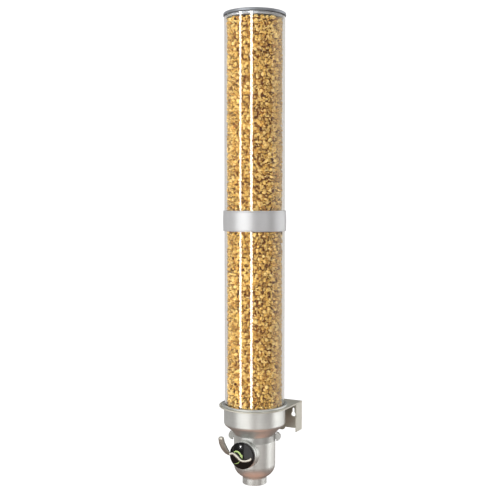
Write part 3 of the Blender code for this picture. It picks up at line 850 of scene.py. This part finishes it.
def closed_tube(line, radii, sides):
    """Vertices and faces of a round tube along a line, its ends closed by a point."""
    verts, faces = [Vector(line[0])], []
    for i in range(1, len(line) - 1):
        run = (Vector(line[i + 1]) - Vector(line[i - 1])).normalized()
        upright = abs(run.z) > 0.99
        across = (run.orthogonal() if upright else Vector((0, 0, 1)).cross(run)).normalized()
        up = run.cross(across)
        for k in range(sides):
            turn = 2 * math.pi * k / sides
            verts.append(Vector(line[i]) + (across * math.cos(turn) + up * math.sin(turn)) * radii[i])
    verts.append(Vector(line[-1]))
    rings = len(line) - 2
    for i in range(rings - 1):
        for k in range(sides):
            a, b = 1 + i * sides + k, 1 + i * sides + (k + 1) % sides
            faces.append((a, b, b + sides, a + sides))
    last = len(verts) - 1
    for k in range(sides):
        faces.append((0, 1 + (k + 1) % sides, 1 + k))
        faces.append((last, last - sides + k, last - sides + (k + 1) % sides))
    return verts, faces


def puff(rng):
    """A lumpy rounded chunk."""
    work = bmesh.new()
    bmesh.ops.create_icosphere(work, subdivisions=2, radius=1.0)
    lumps = [Vector(rng.normal(size=3)).normalized() for _ in range(4)]
    for vert in work.verts:
        swell = max(vert.co.dot(d) for d in lumps)
        vert.co *= 0.80 + 0.24 * swell + rng.uniform(-0.06, 0.06)
    work.verts.ensure_lookup_table()
    verts = [Vector((v.co.x, v.co.y * 0.86, v.co.z * 0.66)) for v in work.verts]
    faces = [tuple(v.index for v in f.verts) for f in work.faces]
    work.free()
    return verts, faces


def curl(rng, sweep):
    """A bent stick of cereal, up to an almost closed ring."""
    sides = 6
    count = max(5, int(sweep / 32))
    bend = 0.66
    line = []
    for i in range(count + 1):
        turn = math.radians(sweep * (i / count - 0.5))
        line.append((bend * math.cos(turn), bend * math.sin(turn), 0.08 * math.sin(2 * turn)))
    thick = rng.uniform(0.30, 0.38)
    radii = [thick * math.sin(math.pi * (0.16 + 0.68 * i / count)) ** 0.5 for i in range(count + 1)]
    verts, faces = closed_tube(line, radii, sides)
    return [v * (1 + rng.uniform(-0.05, 0.05)) for v in verts], faces


def flake(rng):
    """A bent, crinkled flake."""
    work = bmesh.new()
    bmesh.ops.create_icosphere(work, subdivisions=2, radius=1.0)
    bend, twist = rng.uniform(0.25, 0.5), rng.uniform(-0.25, 0.25)
    verts = []
    for vert in work.verts:
        x, y, z = vert.co
        y *= 0.72
        z = z * 0.2 + bend * x * x + twist * x * y + rng.uniform(-0.04, 0.04)
        verts.append(Vector((x, y, z - bend / 2)))
    faces = [tuple(v.index for v in f.verts) for f in work.faces]
    work.free()
    return verts, faces


def chunk_kinds(rng):
    """The shapes that the chunks are picked from, about one unit in half size."""
    kinds = [puff(rng) for _ in range(8)]
    kinds += [curl(rng, sweep) for sweep in (130, 160, 200, 240, 290, 320)]
    kinds += [flake(rng) for _ in range(5)]
    return [(np.array(verts), faces) for verts, faces in kinds]


def random_turn(rng):
    """A rotation matrix from a random unit quaternion."""
    q = rng.normal(size=4)
    w, x, y, z = q / np.linalg.norm(q)
    return np.array(
        [
            [1 - 2 * (y * y + z * z), 2 * (x * y - w * z), 2 * (x * z + w * y)],
            [2 * (x * y + w * z), 1 - 2 * (x * x + z * z), 2 * (y * z - w * x)],
            [2 * (x * z - w * y), 2 * (y * z + w * x), 1 - 2 * (x * x + y * y)],
        ]
    )


def make_food():
    """Chunks pressed against the tube's wall in two layers, the inner one darker as painted shade, over a
    core coloured dark brown as painted shade.
    """
    rng = np.random.default_rng(12)
    kinds = chunk_kinds(rng)
    low, high, limit = TUBE_FOOT + 1.0, LID_FLOOR - 1.0, TUBE_BORE - 1.8
    layers = (  # radius, spacing, chunk half size, tone; the inner layer's lower tone is painted shade
        (55.4, 6.8, (4.1, 5.4), 0.70),
        (51.0, 7.4, (4.4, 5.6), 0.30),
    )
    slices, core_r, tone_spread = 10, 49.0, 0.15
    step = (high - low) / slices
    for s in range(slices):
        verts, faces, tones_and_shade, total = [], [], [], 0
        for radius, spacing, sizes, tone_and_shade in layers:
            columns = round(2 * math.pi * radius / spacing)
            rows = round(step / spacing)
            for row in range(rows):
                for column in range(columns):
                    shape, shape_faces = kinds[rng.integers(len(kinds))]
                    size = rng.uniform(*sizes)
                    turn = 2 * math.pi * (column + 0.5 * (row % 2) + rng.uniform(-0.3, 0.3)) / columns
                    z = low + s * step + (row + 0.5 + rng.uniform(-0.32, 0.32)) * step / rows
                    out = radius + rng.uniform(-1.6, 1.2)
                    points = size * shape @ random_turn(rng).T
                    points += np.array([out * math.cos(turn), out * math.sin(turn), z])
                    reach = np.hypot(points[:, 0], points[:, 1])
                    points[:, :2] *= np.minimum(1, limit / reach)[:, None]
                    points[:, 2] = np.clip(points[:, 2], low, high)
                    verts.append(points)
                    faces += [tuple(total + v for v in face) for face in shape_faces]
                    # Each chunk's level: its layer's, lower in the inner layer as painted shade, plus a
                    # random spread.
                    tones_and_shade += [tone_and_shade + rng.normal() * tone_spread] * len(points)
                    total += len(points)
        mesh = bpy.data.meshes.new(f"cereal_{s + 1:02d}")
        mesh.from_pydata(np.concatenate(verts), [], faces)
        mesh.attributes.new("tone_and_shade", "FLOAT", "POINT").data.foreach_set("value", tones_and_shade)
        made = add(mesh.name, mesh, ON_TUBE_AXIS)
        mesh.shade_smooth()
        placed(made, "canister", "clear_acrylic", TOASTED)
    # The core is coloured dark brown as painted shade.
    core = [(0, high), (core_r, high), (core_r, low), (0, low)]
    core = revolved("cereal_core", core, facets=48, closed=False)
    placed(smooth(core), "canister", "clear_acrylic", CORE_SHADE)


# ---- carried-over CAD nodes ---------------------------------------------------------------------


def dress_cad_nodes():
    """Materials for the hidden pieces, whose CAD meshes stay as they are."""
    looks = {
        "tube_seat_gasket": SEAL,
        "tube_joint_seal": SEAL,
        "lid_seal": SEAL,
        "portion_drum": INNER,
        "front_bush": INNER,
        "rear_bush": INNER,
        "wheel_spool": INNER,
        "drive_shaft": STEEL,
        "retaining_clip": STEEL,
    }
    looks.update({name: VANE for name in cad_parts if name.startswith("wheel_vane")})
    for name, look in looks.items():
        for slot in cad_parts[name].material_slots:
            slot.material = look


# ---- camera, light and stage --------------------------------------------------------------------


def heading(azimuth):
    """The level direction from the tube axis towards a viewer at an azimuth; 0 is straight in front."""
    turn = math.radians(azimuth)
    return Vector((math.sin(turn), -math.cos(turn), 0))


VIEW_AZIMUTH, VIEW_TILT, VIEW_DISTANCE, VIEW_HEIGHT, VIEW_SIDESTEP = 28.0, 3.26, 1890, 465, 10
VIEW_LENS = 63.2


def make_camera():
    """A camera to the front right of the object that looks slightly down."""
    data = bpy.data.cameras.new("camera")
    data.lens = VIEW_LENS
    camera = bpy.data.objects.new("camera", data)
    bpy.context.scene.collection.objects.link(camera)
    back = heading(VIEW_AZIMUTH)
    left = Vector((back.y, -back.x, 0))
    place = Vector((0, AXIS_Y, VIEW_HEIGHT)) + back * VIEW_DISTANCE + left * VIEW_SIDESTEP
    camera.location = place * MM
    tilt = math.radians(VIEW_TILT)
    ahead = -back * math.cos(tilt) - Vector((0, 0, math.sin(tilt)))
    camera.rotation_euler = ahead.to_track_quat("-Z", "Y").to_euler()
    data.clip_start = 0.05
    bpy.context.scene.camera = camera


def make_softbox(
    name, azimuth, distance, height, width, tall, radiance, receivers, colour=(1, 1, 1), through=True
):
    """A rectangular light that faces the tube's axis and falls only on its receivers."""
    data = bpy.data.lights.new(name, "AREA")
    data.shape = "RECTANGLE"
    data.size, data.size_y = width * MM, tall * MM
    data.energy = radiance * math.pi * data.size * data.size_y
    data.color = colour
    light = bpy.data.objects.new(name, data)
    bpy.context.scene.collection.objects.link(light)
    light.location = (Vector((0, AXIS_Y, height)) + heading(azimuth) * distance) * MM
    target = Vector((0, AXIS_Y, min(max(height, SPOUT_LOW), LID_TOP))) * MM
    light.rotation_euler = (target - light.location).to_track_quat("-Z", "Y").to_euler()
    light.visible_camera = False
    light.visible_transmission = through
    chosen = bpy.data.collections.new(name + "_receivers")
    for piece in receivers:
        chosen.objects.link(piece)
    light.light_linking.receiver_collection = chosen


def ramp_input(nodes, levels, low, high):
    """A colour ramp through (place, colour) pairs whose places run from low to high."""
    ramp = nodes.new("ShaderNodeValToRGB")
    ramp.color_ramp.interpolation = "EASE"
    for i, (at, colour) in enumerate(sorted(levels)):
        place = (at - low) / (high - low)
        stop = ramp.color_ramp.elements[i] if i < 2 else ramp.color_ramp.elements.new(place)
        stop.position = place
        stop.color = (*colour, 1)
    return ramp


def joined(nodes, links, operation, first, second):
    """The result of a Math node on a socket and another socket or a number."""
    made = nodes.new("ShaderNodeMath")
    made.operation = operation
    links.new(first, made.inputs[0])
    if isinstance(second, float):
        made.inputs[1].default_value = second
    else:
        links.new(second, made.inputs[1])
    return made.outputs["Value"]


def make_world():
    """A dim studio, warm below, and a backdrop: white to the camera, dimmer and warm through acrylic."""
    world = bpy.data.worlds.new("studio")
    bpy.context.scene.world = world
    world.use_nodes = True
    nodes, links = world.node_tree.nodes, world.node_tree.links
    split = nodes.new("ShaderNodeSeparateXYZ")
    links.new(nodes.new("ShaderNodeTexCoord").outputs["Generated"], split.inputs["Vector"])
    lift = nodes.new("ShaderNodeMapRange")
    lift.inputs["From Min"].default_value = -1
    links.new(split.outputs["Z"], lift.inputs["Value"])
    warm, level, sky = (0.18, 0.12, 0.10), (0.13, 0.13, 0.13), (0.62, 0.62, 0.62)
    rise = ramp_input(nodes, ((-0.5, warm), (-0.08, level), (0.4, level), (1.0, sky)), -1, 1)
    links.new(lift.outputs["Result"], rise.inputs["Fac"])
    studio = nodes["Background"]
    studio.inputs["Strength"].default_value = 1.0
    links.new(rise.outputs["Color"], studio.inputs["Color"])
    backdrop = nodes.new("ShaderNodeBackground")
    backdrop.inputs["Strength"].default_value = 1.0
    path = nodes.new("ShaderNodeLightPath")
    unscattered = joined(nodes, links, "LESS_THAN", path.outputs["Diffuse Depth"], 0.5)
    through = joined(nodes, links, "MULTIPLY", path.outputs["Is Transmission Ray"], unscattered)
    seen = joined(nodes, links, "MAXIMUM", path.outputs["Is Camera Ray"], through)
    tint = nodes.new("ShaderNodeValToRGB")
    tint.color_ramp.elements[0].color = (0.72, 0.69, 0.65, 1)
    tint.color_ramp.elements[1].color = (1.1, 1.1, 1.1, 1)
    links.new(path.outputs["Is Camera Ray"], tint.inputs["Fac"])
    links.new(tint.outputs["Color"], backdrop.inputs["Color"])
    mix = nodes.new("ShaderNodeMixShader")
    links.new(seen, mix.inputs["Fac"])
    links.new(studio.outputs["Background"], mix.inputs[1])
    links.new(backdrop.outputs["Background"], mix.inputs[2])
    links.new(mix.outputs["Shader"], nodes["World Output"].inputs["Surface"])


def make_lights():
    """Softboxes, each kept to the pieces it is for, so that narrow strips show only in the clear tubes."""
    pieces = [o for o in bpy.context.scene.objects if o.type == "MESH" and not o.hide_render]
    tubes = [o for o in pieces if o.name.startswith("clear_tube")]
    food = [o for o in pieces if o.name.startswith("cereal")]
    knob = [o for o in pieces if o.name == "knob_dome"]
    rest = [o for o in pieces if o not in tubes + food + knob and o.name != "floor"]
    castings = [o for o in rest if o.name in ("funnel_cup", "housing_shell", "cover_plate")]
    # name, azimuth, distance, height, width, tall, radiance, receivers, colour
    make_softbox("strip_left", -27.6, 2300, 340, 310, 2600, 16.0, tubes)
    make_softbox("strip_front", 15.4, 2350, 340, 350, 2600, 16.0, tubes)
    make_softbox("veil_right", 122, 2300, 340, 2300, 2600, 1.0, tubes, (1.0, 0.94, 0.85), through=False)
    make_softbox("veil_back", 176, 2300, 340, 2100, 2600, 0.6, tubes, through=False)
    make_softbox("veil_left", -128, 2300, 340, 2300, 2600, 0.55, tubes, (0.96, 0.94, 1.0), through=False)
    make_softbox("food_front", 32, 2600, 700, 2600, 2600, 0.88, food)
    make_softbox("food_side", 90, 2600, 700, 1500, 2600, 1.7, food)
    make_softbox("food_back", 170, 2600, 700, 3200, 2600, 1.6, food)
    make_softbox("front_wide", -12, 2400, 500, 2700, 3000, 2.0, rest)
    make_softbox("left_fill", -95, 2400, 500, 3600, 3000, 0.42, rest)
    make_softbox("right_fill", 62, 2400, 500, 1500, 3000, 0.70, rest)
    make_softbox("right_rear", 138, 2400, 500, 3000, 3000, 1.15, rest)
    make_softbox("housing_front", 42, 2300, 100, 500, 2200, 1.6, castings)
    make_softbox("housing_side", 112, 2300, 100, 1100, 2200, 1.5, castings)
    make_softbox("warm_below", 28, 300, -1500, 1900, 1900, 0.62, castings, (1.0, 0.48, 0.32))
    make_softbox("knob_front", -8, 2300, -185, 900, 1500, 0.9, knob)
    make_softbox("knob_spot", -28, 2200, 60, 85, 85, 70.0, knob)


def make_floor():
    """A plain white floor a metre below the spout, which lights nothing but itself."""
    mesh = bpy.data.meshes.new("floor")
    half = 9000
    corners = [(-half, -half, 0), (half, -half, 0), (half, half, 0), (-half, half, 0)]
    mesh.from_pydata(corners, [], [(0, 1, 2, 3)])
    floor = add("floor", mesh, Matrix.Translation((0, 0, SPOUT_LOW - 1000)))
    look = Look("floor_white", (0.9, 0.9, 0.9), 0.9)
    look.set("Emission Color", (1, 1, 1, 1))
    look.set("Emission Strength", 0.85)
    mesh.materials.append(look.material)
    floor.visible_diffuse = False
    floor.visible_glossy = False
    floor.visible_transmission = False


make_camera()
make_world()
make_floor()
bpy.context.scene.view_settings.view_transform = "Standard"

make_ring_plate()
make_wall_plate()
make_cup()
make_tubes()
make_band()
make_lid()
make_collar()
make_housing()
make_cover()
make_knob()
make_lever()
make_arrow_and_highlight()
make_food()
dress_cad_nodes()
make_lights()
